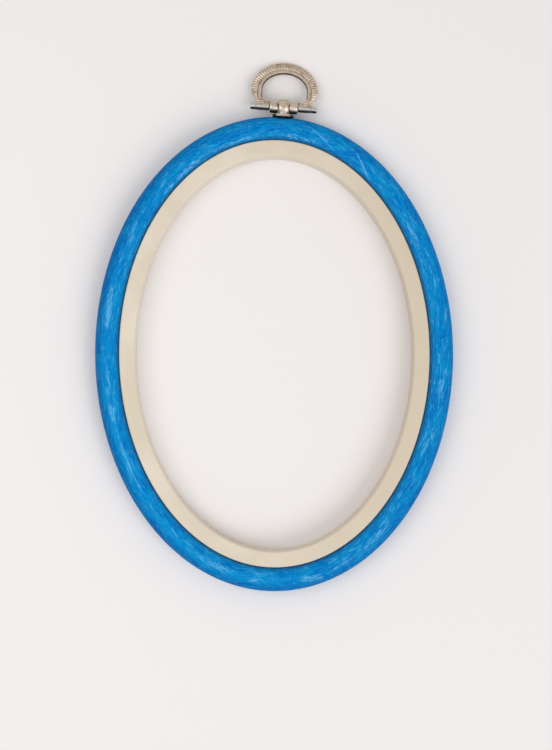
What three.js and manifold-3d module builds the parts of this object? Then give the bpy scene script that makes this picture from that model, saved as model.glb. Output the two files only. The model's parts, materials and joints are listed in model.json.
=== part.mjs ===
// Oval embroidery hoop, lying on its back with the hanger towards +Y. Millimetres, +Z up.
// A flexible domed ring is stretched over a rigid inner ring, and the cloth is gripped between them.
// A metal saddle is screwed to the outer ring and carries a swinging hanger on a pin.

import * as THREE from 'three';
import { mergeVertices } from 'three/addons/utils/BufferGeometryUtils.js';
import Module from 'manifold-3d';

const wasm = await Module();
wasm.setup();

// The seat oval, where the two rings meet (half sizes)
const seatHalfWidth = 50.8;
const seatHalfLength = 69.85;
const ringSteps = 96;

// Flexible outer ring
const outerWidth = 7.8;
const outerDepth = 9.0;
const outerCrown = 4.0; // from the seat to the highest line of the dome
const outerInnerShoulder = 6.9; // where the dome starts on the seat side
const outerOuterShoulder = 5.2; // where the dome ends on the outside
const outerBackEdge = 0.6;

// Rigid inner ring
const innerWidth = 5.1;
const innerDepth = 8.0;
const innerFrontRound = 0.5;
const innerBackRound = 0.5;
const clothGap = 0.3; // room for the cloth between the rings
const lipReach = 1.2; // how far the back lip goes under the outer ring
const lipDepth = 1.4;
const lipClearance = 0.3;

// Hanger hardware: the pin lies along the hanger's X, the outer ring's wall is at Y = 0
const hangerShift = 2.6; // from the oval's long axis, measured on the seat
const pinStandoff = 3.3; // from the outer wall to the pin's middle
const pinHeight = 4.5;
const pinRadius = 0.6;
const pinHeadRadius = 1.1;
const pinHeadLength = 1.7;
const pinHeadEdge = 0.25;
const runningClearance = 0.08; // round the pin, on the radius
const sideClearance = 0.2; // between neighbours along the pin

const saddleWidth = 3.3;
const saddleLoopRadius = 2.75;
const saddleNeckRadius = 1.6;
const saddleFootRadius = 2.35;
const saddleStemWidth = 3.0;
const saddleStemDepth = 4.4; // the stem is deeper than it is wide, so its front is nearly flush
const saddleStemCorner = 1.2;
const flangeWidth = 7.0;
const flangeHeight = 5.4;
const flangeThickness = 0.75;
const flangeCorner = 2.4;
const wallGap = 0.05; // the flat flange touches the curved wall at its middle only

const screwRadius = 0.9;
const screwHeadRadius = 1.75;
const screwHeadThickness = 1.3;
const screwHeadRecess = 0.5; // from the seat wall to the top of the head
const screwSlotWidth = 0.5;
const screwSlotDepth = 0.5;
const screwClearance = 0.15;
const screwGrip = 1.9; // length of screw inside the saddle

const collarLength = 2.7;
const collarRadius = 1.9;
const collarEdge = 0.2;

const knuckleRadius = 1.15;
const knuckleLength = 4.3;
const bailThickness = 1.3;
const bailEdge = 0.3;
const bailHalfWidth = 11.0;
const bailShoulder = 6.0; // from the pin to the widest line of the arch
const bailReach = 16.3; // from the pin to the top of the arch
const bailBandTop = 4.1; // width of the band at the top of the arch
const bailBandSide = 3.6; // width of the band at its sides
const bailFootHeight = 1.95;
const bailFootCorner = 1.6;
const bailFootStart = 0.8; // the arch starts inside its knuckles
const bailRibs = 50; // from foot to foot
const bailRibDepth = 0.3;
const bailRibSlope = 0.45; // width of the ribs' sloping outer ends
const bailRimWidth = 1.3; // smooth rim along the inner edge
const bailGrooveWidth = 0.35;
const bailGrooveHeight = 0.2; // its bottom, from the middle of the band's thickness
const bailPlainStations = 4; // half ribs left plain at each foot
const legStations = 16; // half ribs in each leg, below the widest line
const tipClearance = 0.05; // between the resting hanger and the table

// Facets of round pieces
const roundSteps = 24;
const boreSteps = 20;
const overcut = 1.0; // how far a cutter runs past the face it opens

// Materials
const vinyl = new THREE.MeshStandardMaterial({ color: 0x0f7cc0, roughness: 0.35, metalness: 0 });
const cream = new THREE.MeshStandardMaterial({ color: 0xdccfb9, roughness: 0.45, metalness: 0 });
const brass = new THREE.MeshStandardMaterial({ color: 0xb5a283, roughness: 0.35, metalness: 1 });
const nickel = new THREE.MeshStandardMaterial({ color: 0xc4bfb8, roughness: 0.3, metalness: 1 });

// Turns a closed geometry into a solid that can be cut and joined.
function solidOf(geometry) {
  const bare = geometry.clone();
  bare.deleteAttribute('normal');
  bare.deleteAttribute('uv');
  const merged = mergeVertices(bare, 1e-4);
  const vertProperties = new Float32Array(merged.attributes.position.array);
  const triVerts = new Uint32Array(merged.index.array);
  return new wasm.Manifold(new wasm.Mesh({ numProp: 3, vertProperties, triVerts }));
}

// Turns a solid back into a geometry.
function geometryOf(solid) {
  const mesh = solid.getMesh();
  const geometry = new THREE.BufferGeometry();
  const position = new THREE.BufferAttribute(new Float32Array(mesh.vertProperties), 3);
  geometry.setAttribute('position', position);
  geometry.setIndex(new THREE.BufferAttribute(new Uint32Array(mesh.triVerts), 1));
  geometry.computeVertexNormals();
  return geometry;
}

// Joins all geometries of the first list, then cuts away all of the second.
function build(joined, cutters) {
  let solid = solidOf(joined[0]);
  for (const geometry of joined.slice(1)) {
    solid = solid.add(solidOf(geometry));
  }
  for (const geometry of cutters) {
    solid = solid.subtract(solidOf(geometry));
  }
  return geometryOf(solid);
}

// A point beside the seat oval: t is its parameter, u the distance outwards along the normal.
function besideSeat(t, u) {
  const square = new THREE.Vector2(seatHalfLength * Math.cos(t), seatHalfWidth * Math.sin(t));
  const normal = square.normalize();
  const onSeat = new THREE.Vector2(seatHalfWidth * Math.cos(t), seatHalfLength * Math.sin(t));
  return { point: onSeat.addScaledVector(normal, u), normal };
}

// A ring of constant section round the oval. The section is a closed list of (u, z) points.
function ovalRing(section) {
  const positions = [];
  const indices = [];
  const count = section.length;
  for (let i = 0; i < ringSteps; i += 1) {
    const t = (i / ringSteps) * 2 * Math.PI;
    for (const corner of section) {
      const { point } = besideSeat(t, corner.x);
      positions.push(point.x, point.y, corner.y);
    }
  }
  for (let i = 0; i < ringSteps; i += 1) {
    const here = i * count;
    const next = ((i + 1) % ringSteps) * count;
    for (let j = 0; j < count; j += 1) {
      const k = (j + 1) % count;
      indices.push(here + j, next + j, next + k);
      indices.push(here + j, next + k, here + k);
    }
  }
  const geometry = new THREE.BufferGeometry();
  geometry.setAttribute('position', new THREE.Float32BufferAttribute(positions, 3));
  geometry.setIndex(indices);
  geometry.computeVertexNormals();
  return geometry;
}

// Points of a quarter ellipse about (x, y), from angle a to angle b, in degrees.
function quarter(x, y, rx, ry, a, b, steps) {
  const start = THREE.MathUtils.degToRad(a);
  const end = THREE.MathUtils.degToRad(b);
  return new THREE.EllipseCurve(x, y, rx, ry, start, end, b < a).getPoints(steps);
}

// A solid turned about the Y axis, from (radius, y) points that start and end on the axis.
function turned(profile) {
  const points = profile.map(([radius, y]) => new THREE.Vector2(radius, y));
  return new THREE.LatheGeometry(points, roundSteps);
}

// A cylinder along X with softened rims, centred at x.
function softBarrel(radius, length, edge, x) {
  const half = length / 2;
  const profile = [
    [0, -half],
    [radius - edge, -half],
    [radius, -half + edge],
    [radius, half - edge],
    [radius - edge, half],
    [0, half],
  ];
  const geometry = turned(profile);
  geometry.rotateZ(-Math.PI / 2);
  geometry.translate(x, 0, 0);
  return geometry;
}

// A straight hole along Y whose flats are at the given radius.
function drill(radius, length) {
  const corner = radius / Math.cos(Math.PI / boreSteps);
  return new THREE.CylinderGeometry(corner, corner, length, boreSteps);
}

// The hole that the pin runs in, through everything along the pin.
function pinBore() {
  const bore = drill(pinRadius + runningClearance, 2 * bailHalfWidth);
  bore.rotateZ(Math.PI / 2);
  return bore;
}

function outerRingSection() {
  const rebateWidth = lipReach + lipClearance;
  const rebateDepth = lipDepth + lipClearance;
  const seatSide = quarter(
    outerCrown, outerInnerShoulder, outerCrown, outerDepth - outerInnerShoulder, 180, 90, 3);
  const outSide = quarter(
    outerCrown, outerOuterShoulder, outerWidth - outerCrown, outerDepth - outerOuterShoulder, 90, 0, 4);
  return [
    new THREE.Vector2(0, rebateDepth),
    new THREE.Vector2(rebateWidth, rebateDepth),
    new THREE.Vector2(rebateWidth, 0),
    new THREE.Vector2(outerWidth - outerBackEdge, 0),
    new THREE.Vector2(outerWidth, outerBackEdge),
    ...outSide.reverse(),
    ...seatSide.reverse().slice(1),
  ];
}

function innerRingSection() {
  const outside = -clothGap;
  const inside = outside - innerWidth;
  const front = innerDepth - innerFrontRound;
  const frontOuter = quarter(outside - innerFrontRound, front, innerFrontRound, innerFrontRound, 0, 90, 2);
  const frontInner = quarter(inside + innerFrontRound, front, innerFrontRound, innerFrontRound, 90, 180, 2);
  return [
    new THREE.Vector2(inside, innerBackRound),
    new THREE.Vector2(inside + innerBackRound, 0),
    new THREE.Vector2(lipReach - lipClearance, 0),
    new THREE.Vector2(lipReach, lipClearance),
    new THREE.Vector2(lipReach, lipDepth),
    new THREE.Vector2(outside, lipDepth),
    ...frontOuter,
    ...frontInner,
  ];
}

// The place of the hanger on the outer ring: the wall point and the turn of its normal from +Y.
function hangerPlace() {
  const t = Math.acos(hangerShift / seatHalfWidth);
  const { point, normal } = besideSeat(t, outerWidth);
  return { point, turn: Math.atan2(normal.y, normal.x) - Math.PI / 2 };
}

// Both holes for the saddle's screw, in the hanger's frame: a passage and a pocket for the head.
function screwHoles() {
  const headBottom = -outerWidth + screwHeadRecess + screwHeadThickness;
  const pocketDepth = headBottom + outerWidth + overcut;
  const passage = drill(screwRadius + screwClearance, outerWidth + 2 * overcut);
  passage.translate(0, -outerWidth / 2, pinHeight);
  const pocket = drill(screwHeadRadius + 2 * screwClearance, pocketDepth);
  pocket.translate(0, headBottom - pocketDepth / 2, pinHeight);
  return [passage, pocket];
}

function outerRing(place) {
  const holes = screwHoles();
  for (const hole of holes) {
    hole.rotateZ(place.turn);
    hole.translate(place.point.x, place.point.y, 0);
  }
  const mesh = new THREE.Mesh(build([ovalRing(outerRingSection())], holes), vinyl);
  mesh.name = 'outer_ring';
  return mesh;
}

function innerRing() {
  const mesh = new THREE.Mesh(ovalRing(innerRingSection()), cream);
  mesh.name = 'inner_ring';
  return mesh;
}

function roundedPlate(width, height, corner, thickness) {
  const x = width / 2;
  const y = height / 2;
  const shape = new THREE.Shape();
  shape.moveTo(-x + corner, -y);
  shape.lineTo(x - corner, -y);
  shape.absarc(x - corner, -y + corner, corner, -Math.PI / 2, 0);
  shape.absarc(x - corner, y - corner, corner, 0, Math.PI / 2);
  shape.absarc(-x + corner, y - corner, corner, Math.PI / 2, Math.PI);
  shape.absarc(-x + corner, -y + corner, corner, Math.PI, 1.5 * Math.PI);
  const options = { depth: thickness, bevelEnabled: false, curveSegments: 4 };
  return new THREE.ExtrudeGeometry(shape, options);
}

// Flange against the ring, flared neck, stem and a loop round the pin. Its origin is the pin's middle.
function saddle() {
  const wall = -pinStandoff + wallGap;
  const face = wall + flangeThickness;
  const flange = roundedPlate(flangeWidth, flangeHeight, flangeCorner, flangeThickness);
  flange.rotateX(-Math.PI / 2);
  flange.translate(0, wall, 0);
  const neck = turned([
    [0, wall + flangeThickness / 2],
    [saddleFootRadius, wall + flangeThickness / 2],
    [saddleFootRadius, face],
    [saddleNeckRadius, face + saddleFootRadius - saddleNeckRadius],
    [saddleNeckRadius, -pinRadius],
    [0, -pinRadius],
  ]);
  const stem = roundedPlate(saddleStemWidth, saddleStemDepth, saddleStemCorner, -wall - pinRadius);
  stem.rotateX(-Math.PI / 2);
  stem.translate(0, wall, 0);
  const loop = softBarrel(saddleLoopRadius, saddleWidth, collarEdge, 0);
  const socketLength = screwGrip + screwClearance + overcut;
  const socket = drill(screwRadius + screwClearance, socketLength);
  socket.translate(0, -pinStandoff - overcut + socketLength / 2, 0);
  const mesh = new THREE.Mesh(build([flange, neck, stem, loop], [pinBore(), socket]), brass);
  mesh.name = 'saddle';
  return mesh;
}

// Slotted screw from the seat side of the ring into the saddle. Its origin is the pin's middle.
function saddleScrew() {
  const top = -pinStandoff - outerWidth + screwHeadRecess;
  const underHead = top + screwHeadThickness;
  const tip = -pinStandoff + screwGrip;
  const body = turned([
    [0, top],
    [screwHeadRadius * 0.7, top],
    [screwHeadRadius, top + screwHeadThickness / 2],
    [screwHeadRadius, underHead - screwClearance],
    [screwRadius, underHead - screwClearance],
    [screwRadius, tip - screwRadius / 2],
    [screwRadius / 2, tip],
    [0, tip],
  ]);
  const slot = new THREE.BoxGeometry(3 * screwHeadRadius, 2 * screwSlotDepth, screwSlotWidth);
  slot.translate(0, top, 0);
  const mesh = new THREE.Mesh(build([body], [slot]), nickel);
  mesh.name = 'saddle_screw';
  return mesh;
}

// Loose sleeve on the pin between the saddle and the hanger's foot.
function collar(name, side) {
  const x = side * (saddleWidth / 2 + sideClearance + collarLength / 2);
  const body = softBarrel(collarRadius, collarLength, collarEdge, x);
  const mesh = new THREE.Mesh(build([body], [pinBore()]), brass);
  mesh.name = name;
  return mesh;
}

const knuckleStart = saddleWidth / 2 + collarLength + 2 * sideClearance;
const knuckleEnd = knuckleStart + knuckleLength;

// Both edges of the right leg, from inside the knuckle up to the widest line of the arch.
// The pin lies along X at the origin and the top of the arch is at +Y.
function legEdges() {
  const innerHalfWidth = bailHalfWidth - bailBandSide;
  const swell = (bailShoulder - knuckleRadius) / 2;
  const outer = new THREE.Path();
  outer.moveTo(knuckleEnd, bailFootStart);
  outer.lineTo(knuckleEnd, knuckleRadius);
  outer.bezierCurveTo(
    knuckleEnd + bailEdge, knuckleRadius + swell,
    bailHalfWidth, bailShoulder - swell,
    bailHalfWidth, bailShoulder);
  const inner = new THREE.Path();
  inner.moveTo(knuckleStart, bailFootStart);
  inner.lineTo(knuckleStart, bailFootHeight);
  inner.lineTo(innerHalfWidth - bailFootCorner, bailFootHeight);
  inner.quadraticCurveTo(
    innerHalfWidth, bailFootHeight, innerHalfWidth, bailFootHeight + bailFootCorner);
  inner.lineTo(innerHalfWidth, bailShoulder);
  return [outer, inner];
}

// The points of the arch's outer and inner edge at a station, counted from the right foot.
function archEdges(station, legs) {
  const last = 2 * bailRibs;
  const side = station > bailRibs ? -1 : 1;
  const along = Math.min(station, last - station);
  if (along < legStations) {
    return legs.map((leg) => {
      const point = leg.getPoint(along / legStations);
      return new THREE.Vector2(side * point.x, point.y);
    });
  }
  const angle = ((along - legStations) / (bailRibs - legStations)) * (Math.PI / 2);
  const outer = [bailHalfWidth, bailReach - bailShoulder];
  const inner = [bailHalfWidth - bailBandSide, bailReach - bailBandTop - bailShoulder];
  return [outer, inner].map(([rx, ry]) => new THREE.Vector2(
    side * rx * Math.cos(angle), bailShoulder + ry * Math.sin(angle)));
}

// The band's section as (distance from the inner edge, height): smooth rim, groove, ribbed part.
function bandSection(width, ribTop) {
  const half = bailThickness / 2;
  return [
    [bailEdge, -half],
    [width - bailEdge, -half],
    [width, -half + bailEdge],
    [width, 0],
    [width - bailRibSlope, ribTop],
    [bailRimWidth + bailGrooveWidth, ribTop],
    [bailRimWidth, bailGrooveHeight],
    [bailRimWidth - bailEdge, half],
    [bailEdge, half],
    [0, 0],
    [0, -half + bailEdge],
  ].map(([x, y]) => new THREE.Vector2(x, y));
}

// The ribbed arch, from foot to foot: every second station lies in a groove between two ribs.
function ribbedArch() {
  const last = 2 * bailRibs;
  const legs = legEdges();
  const positions = [];
  const indices = [];
  let section = [];
  for (let i = 0; i <= last; i += 1) {
    const [outer, inner] = archEdges(i, legs);
    const across = outer.clone().sub(inner);
    const width = across.length();
    const plain = Math.min(i, last - i) < bailPlainStations;
    const crest = plain || i % 2 === 1;
    section = bandSection(width, bailThickness / 2 - (crest ? 0 : bailRibDepth));
    for (const corner of section) {
      const spot = inner.clone().addScaledVector(across, corner.x / width);
      positions.push(spot.x, spot.y, corner.y);
    }
  }
  const count = section.length;
  for (let i = 0; i < last; i += 1) {
    for (let j = 0; j < count; j += 1) {
      const here = i * count + j;
      const beside = i * count + ((j + 1) % count);
      indices.push(here, beside + count, beside);
      indices.push(here, here + count, beside + count);
    }
  }
  for (const [a, b, c] of THREE.ShapeUtils.triangulateShape(section, [])) {
    const end = last * count;
    indices.push(a, b, c);
    indices.push(end + a, end + c, end + b);
  }
  const geometry = new THREE.BufferGeometry();
  geometry.setAttribute('position', new THREE.Float32BufferAttribute(positions, 3));
  geometry.setIndex(indices);
  geometry.computeVertexNormals();
  return geometry;
}

// The swinging arch with a knuckle at each foot.
function bail() {
  const middle = (knuckleStart + knuckleEnd) / 2;
  const knuckles = [-middle, middle].map((x) => softBarrel(knuckleRadius, knuckleLength, collarEdge, x));
  const mesh = new THREE.Mesh(build([ribbedArch(), ...knuckles], [pinBore()]), brass);
  mesh.name = 'bail';
  return mesh;
}

// Pin with a head formed at each end.
function hingePin() {
  const neck = knuckleEnd + sideClearance;
  const end = neck + pinHeadLength;
  const half = [
    [pinRadius, neck],
    [pinHeadRadius, neck],
    [pinHeadRadius, end - pinHeadEdge],
    [pinHeadRadius - pinHeadEdge, end],
    [0, end],
  ];
  const otherHalf = half.map(([radius, x]) => [radius, -x]).reverse();
  const geometry = turned([...otherHalf, ...half]);
  geometry.rotateZ(-Math.PI / 2);
  const mesh = new THREE.Mesh(geometry, nickel);
  mesh.name = 'hinge_pin';
  return mesh;
}

// How far the hanger droops until the rounded edge at the top of its arch rests on the table.
function bailDroop() {
  const edgeReach = bailReach - bailEdge;
  const edgeHeight = bailThickness / 2 - bailEdge;
  const drop = pinHeight - tipClearance - bailEdge;
  return Math.asin(drop / Math.hypot(edgeReach, edgeHeight)) - Math.atan2(edgeHeight, edgeReach);
}

function assemble() {
  const place = hangerPlace();
  const hoop = new THREE.Group();
  hoop.add(outerRing(place), innerRing());

  const hanger = new THREE.Group();
  hanger.position.set(place.point.x, place.point.y, 0);
  hanger.rotation.z = place.turn;
  hoop.add(hanger);

  const pinLine = new THREE.Group();
  pinLine.position.set(0, pinStandoff, pinHeight);
  hanger.add(pinLine);
  pinLine.add(saddle(), saddleScrew());

  const swing = new THREE.Group();
  swing.rotation.x = -bailDroop();
  pinLine.add(swing);
  swing.add(bail(), hingePin(), collar('collar_left', -1), collar('collar_right', 1));

  // The origin is on the table, under the middle of the whole length.
  const box = new THREE.Box3().setFromObject(hoop, true);
  hoop.position.y = -(box.min.y + box.max.y) / 2;
  return hoop;
}

export default assemble();
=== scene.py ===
import json
from math import asin, atan2, cos, hypot, pi, radians, sin
import bmesh
import bpy
from mathutils import Matrix, Vector
from mathutils.geometry import interpolate_bezier


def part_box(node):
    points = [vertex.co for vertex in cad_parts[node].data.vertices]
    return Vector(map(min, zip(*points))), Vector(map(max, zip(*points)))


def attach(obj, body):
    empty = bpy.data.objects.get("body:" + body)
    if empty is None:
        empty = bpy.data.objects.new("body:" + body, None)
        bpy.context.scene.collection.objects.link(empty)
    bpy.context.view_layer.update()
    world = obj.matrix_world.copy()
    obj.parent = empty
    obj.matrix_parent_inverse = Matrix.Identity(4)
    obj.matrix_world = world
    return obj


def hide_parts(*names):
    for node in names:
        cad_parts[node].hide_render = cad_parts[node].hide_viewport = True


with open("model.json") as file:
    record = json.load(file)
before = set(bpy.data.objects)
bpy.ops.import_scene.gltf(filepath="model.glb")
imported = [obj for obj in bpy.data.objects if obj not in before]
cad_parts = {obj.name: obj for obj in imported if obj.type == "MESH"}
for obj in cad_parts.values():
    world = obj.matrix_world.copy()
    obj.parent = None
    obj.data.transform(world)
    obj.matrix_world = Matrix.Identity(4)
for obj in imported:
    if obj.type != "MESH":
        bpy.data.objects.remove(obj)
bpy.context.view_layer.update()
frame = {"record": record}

mm = 0.001
outerLow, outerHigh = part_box("outer_ring")
innerLow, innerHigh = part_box("inner_ring")
ovalCentre = Vector(((outerLow.x + outerHigh.x) / 2, (outerLow.y + outerHigh.y) / 2, 0))
joints = frame["record"]["behaviour"]["joints"]
hinge = next(joint for joint in joints if joint["name"] == "hanger_swing")
pinPlace = Vector(hinge["pos_m"])
pinTurn = atan2(hinge["axis"][1], hinge["axis"][0])


# Shader values that take Python arithmetic: each operator adds one Math node.

class Wire:
    def __init__(self, finish, socket):
        self.finish = finish
        self.socket = socket

    def maths(self, operation, *values):
        return self.finish.node("ShaderNodeMath", {"operation": operation}, dict(enumerate(values)))

    def __add__(self, other):
        return self.maths("ADD", self, other)

    def __radd__(self, other):
        return self.maths("ADD", other, self)

    def __sub__(self, other):
        return self.maths("SUBTRACT", self, other)

    def __rsub__(self, other):
        return self.maths("SUBTRACT", other, self)

    def __mul__(self, other):
        return self.maths("MULTIPLY", self, other)

    def __rmul__(self, other):
        return self.maths("MULTIPLY", other, self)

    def __truediv__(self, other):
        return self.maths("DIVIDE", self, other)

    def __rtruediv__(self, other):
        return self.maths("DIVIDE", other, self)


# the nodes of a material or a world
class Finish:
    def __init__(self, owner):
        self.owner = owner
        owner.use_nodes = True
        self.tree = owner.node_tree
        self.tree.nodes.clear()

    # any node: its settings come first, then the values or links of its sockets
    def node(self, kind, settings=None, sockets=None, result=0):
        made = self.tree.nodes.new(kind)
        for name, value in (settings or {}).items():
            setattr(made, name, value)
        for name, value in (sockets or {}).items():
            if isinstance(value, Wire):
                self.tree.links.new(value.socket, made.inputs[name])
            else:
                made.inputs[name].default_value = value
        return Wire(self, made.outputs[result]) if made.outputs else made

    def mixColour(self, factor, first, second, blend="MIX"):
        settings = {"data_type": "RGBA", "blend_type": blend}
        return self.node("ShaderNodeMix", settings, {0: factor, 6: first, 7: second}, 2)

    # goes from 0 to 1 while the value goes from start to end, upwards or downwards
    def ramp(self, value, start, end):
        settings = {"interpolation_type": "SMOOTHSTEP"}
        sockets = {"Value": value, "From Min": start, "From Max": end}
        return self.node("ShaderNodeMapRange", settings, sockets)

    def noise(self, vector, scale, detail, roughness):
        sockets = {"Vector": vector, "Scale": scale, "Detail": detail, "Roughness": roughness}
        return self.node("ShaderNodeTexNoise", None, sockets)

    def join(self, x, y, z):
        return self.node("ShaderNodeCombineXYZ", None, {0: x, 1: y, 2: z})

    # one of a vector's three numbers
    def part(self, vector, index):
        return self.node("ShaderNodeSeparateXYZ", None, {0: vector}, index)

    def spot(self):
        return self.node("ShaderNodeTexCoord", None, None, "Object")

    # what the point rules wrote on the mesh, the painted shade and dark reflection and the painted
    # highlight
    def pointShading(self, layerName):
        return self.node("ShaderNodeAttribute", {"attribute_name": layerName}, None, "Fac")

    def bump(self, height, distance, strength):
        sockets = {"Height": height, "Distance": distance, "Strength": strength}
        return self.node("ShaderNodeBump", None, sockets)

    def surface(self, **sockets):
        named = {name.replace("_", " "): value for name, value in sockets.items()}
        shader = self.node("ShaderNodeBsdfPrincipled", None, named)
        self.node("ShaderNodeOutputMaterial", None, {"Surface": shader})
        return self.owner


# a colour as a screen shows it, 0 to 255, in the linear values that the sockets take
def paint(red, green, blue):
    def linear(value):
        share = value / 255
        return share / 12.92 if share <= 0.04045 else ((share + 0.055) / 1.055) ** 2.4
    return (linear(red), linear(green), linear(blue), 1.0)


# Mesh helpers

meshing = dict(
    spin=96,           # steps round a spun shape
    hole=48,           # and round the screw's passage
    rim=6,
    crown=12,
    plateCorner=8,
    plateEdge=3,
    endLine=1.6,       # rims below a sleeve's skin, a line that keeps its end flat
    merge=0.002 * mm,  # points nearer than this become one
)


def finishPiece(bm, name, material, body, nodes, smoothAngle=35):
    bmesh.ops.recalc_face_normals(bm, faces=bm.faces)
    for face in bm.faces:
        face.smooth = True
    for edge in bm.edges:
        edge.smooth = edge.calc_face_angle(0) < radians(smoothAngle)
    mesh = bpy.data.meshes.new(name)
    bm.to_mesh(mesh)
    bm.free()
    piece = bpy.data.objects.new(name, mesh)
    bpy.context.scene.collection.objects.link(piece)
    mesh.materials.append(material)
    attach(piece, body)
    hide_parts(*nodes)


# points of an elliptic arc, angles in degrees
def arc(x, y, rx, ry, start, end, count):
    turns = [radians(start + (end - start) * i / count) for i in range(count + 1)]
    return [Vector((x + rx * cos(turn), y + ry * sin(turn))) for turn in turns]


# a quarter of a circle, from the angle in degrees on
def quarter(x, y, radius, start, count):
    return arc(x, y, radius, radius, start, start + 90, count)


# spins a profile of (along, radius) points round the X axis
def spun(profile, closed=False, steps=meshing["spin"]):
    bm = bmesh.new()
    dots = [bm.verts.new((along, radius, 0)) for along, radius in profile]
    pairs = list(zip(dots, dots[1:]))
    if closed:
        pairs.append((dots[-1], dots[0]))
    lines = [bm.edges.new(pair) for pair in pairs]
    bmesh.ops.spin(bm, geom=dots + lines, cent=(0, 0, 0), axis=(1, 0, 0), dvec=(0, 0, 0),
                   angle=2 * pi, steps=steps, use_merge=True)
    bmesh.ops.remove_doubles(bm, verts=bm.verts, dist=meshing["merge"])
    bmesh.ops.recalc_face_normals(bm, faces=bm.faces)
    return bm


# a plain rod along X
def rod(radius, start, end, steps=meshing["spin"]):
    return spun([(start, 0), (start, radius), (end, radius), (end, 0)], steps=steps)


# the skin of a barrel along X from rim to rim, a little fuller in the middle by the crown
def barrelSkin(radius, length, rim, crown, x=0.0):
    half = length / 2 - rim
    edge = radius - crown - rim
    skinLine = arc(x - half, edge, rim, rim, 180, 90, meshing["rim"])
    if crown:
        skinLine += arc(x, radius - crown, half, crown, 180, 0, meshing["crown"])[1:-1]
    return skinLine + arc(x + half, edge, rim, rim, 90, 0, meshing["rim"])


# a sleeve along X with rounded rims and a bore
def sleeve(radius, bore, length, rim, x, crown=0.0):
    half = length / 2
    inner = radius - crown - meshing["endLine"] * rim
    profile = [Vector((x - half, bore)), Vector((x - half, inner))]
    profile += barrelSkin(radius, length, rim, crown, x)
    profile += [Vector((x + half, inner)), Vector((x + half, bore))]
    return spun(profile, closed=True)


# an upright plate with its back at the wall, rounded corners and a softened front
def plate(width, height, thickness, corner, wall, soft=0.0):
    bm = bmesh.new()
    bmesh.ops.create_cube(bm, size=1)
    bmesh.ops.scale(bm, vec=(width, thickness, height), verts=bm.verts)
    corners = [e for e in bm.edges if abs(e.verts[0].co.y - e.verts[1].co.y) > thickness / 2]
    bmesh.ops.bevel(bm, geom=corners, offset=corner, segments=meshing["plateCorner"], profile=0.5,
                    affect="EDGES", material=-1)
    if soft:
        front = [e for e in bm.edges if e.verts[0].co.y > 0 and e.verts[1].co.y > 0]
        bmesh.ops.bevel(bm, geom=front, offset=soft, segments=meshing["plateEdge"], profile=0.5,
                        affect="EDGES", material=-1)
    bmesh.ops.translate(bm, vec=(0, wall + thickness / 2, 0), verts=bm.verts)
    return bm


# writes a rule's value at each point, 0 to 1, for the materials, which paint shade and dark reflection
# from the default layer and a highlight from the other
def shadePoints(bm, rule, layerName="paintedShade"):
    layer = bm.verts.layers.float.get(layerName) or bm.verts.layers.float.new(layerName)
    for vert in bm.verts:
        vert[layer] = min(max(rule(vert.co), 0.0), 1.0)
    return bm


# the painted shade and painted highlight that all barrels round the pin have alike, with lengths in
# radii
barrelShading = dict(
    skinDepth=1.3,      # in rims
    paintedShade=0.95,       # how dark the painted shade and dark reflection are on the side that faces the ring
    shadeFade=0.35,
    sheenStart=0.3,
    sheenFade=0.25,
)


# painted shade on its flat ends and painted shade and dark reflection where it faces the ring, with a
# nickel-toned painted highlight from there past the middle
def shadeBarrel(bm, radius, rim, paintedSheen=0.0, start=0.4):
    def onSkin(co):
        return hypot(co.y, co.z) > radius - barrelShading["skinDepth"] * rim

    def shaded(co):
        rise = (-co.y / radius - start) / barrelShading["shadeFade"]
        return barrelShading["paintedShade"] * min(rise, 1.0) if onSkin(co) else 1.0

    def highlit(co):
        rise = (barrelShading["sheenStart"] - co.y / radius) / barrelShading["sheenFade"]
        return paintedSheen * min(rise, 1.0) if onSkin(co) else 0.0

    shadePoints(bm, shaded)
    shadePoints(bm, highlit, "paintedSheen")
    return bm


def place(bm, matrix):
    bmesh.ops.transform(bm, matrix=matrix, verts=bm.verts)
    return bm


# joins or cuts meshes and gives the result back as one bmesh
def combine(first, others, operation):
    helpers = []
    for bm in [first] + others:
        mesh = bpy.data.meshes.new("helper")
        bm.to_mesh(mesh)
        bm.free()
        helper = bpy.data.objects.new("helper", mesh)
        bpy.context.scene.collection.objects.link(helper)
        helpers.append(helper)
    for other in helpers[1:]:
        step = helpers[0].modifiers.new("cut", "BOOLEAN")
        step.operation = operation
        step.solver = "EXACT"
        step.object = other
    depsgraph = bpy.context.evaluated_depsgraph_get()
    result = bmesh.new()
    result.from_object(helpers[0], depsgraph)
    for helper in helpers:
        bpy.data.meshes.remove(helper.data)
    return result


# The hanger's fittings are made with the pin along X at the origin and the arch towards +Y.

fittings = dict(
    standoff=3.3 * mm,       # from the outer ring's wall to the pin's middle
    pinRadius=0.6 * mm,
    bore=0.68 * mm,
    side=0.2 * mm,           # play between neighbours along the pin
    loopWidth=3.3 * mm,
    loopRadius=2.75 * mm,
    collarLength=2.7 * mm,
    collarRadius=1.9 * mm,
    # how strong the nickel-toned painted highlight is on the collars' fronts
    collarSheen=0.4,
    knuckleLength=4.3 * mm,
    knuckleRadius=1.15 * mm,
    knuckleRim=0.1 * mm,
    # and on the knuckles' fronts
    knuckleSheen=0.95,
    headLength=1.7 * mm,
    headRadius=1.1 * mm,
    headGap=0.06 * mm,       # the heads nearly touch the knuckles, which turn with them
    headSkin=0.3 * mm,       # takes the place of the rim in a head's painted shade
    headShade=0.25,        # radii towards the ring, where its painted shade starts
    headSteps=5,
    rim=0.22 * mm,
    crown=0.1 * mm,
)
fittings["knuckleStart"] = (
    fittings["loopWidth"] / 2 + fittings["collarLength"] + 2 * fittings["side"])
fittings["knuckleEnd"] = fittings["knuckleStart"] + fittings["knuckleLength"]
pinFrame = Matrix.Translation(pinPlace) @ Matrix.Rotation(pinTurn, 4, "Z")
wallFrame = pinFrame @ Matrix.Translation((0, -fittings["standoff"], 0))
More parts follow.
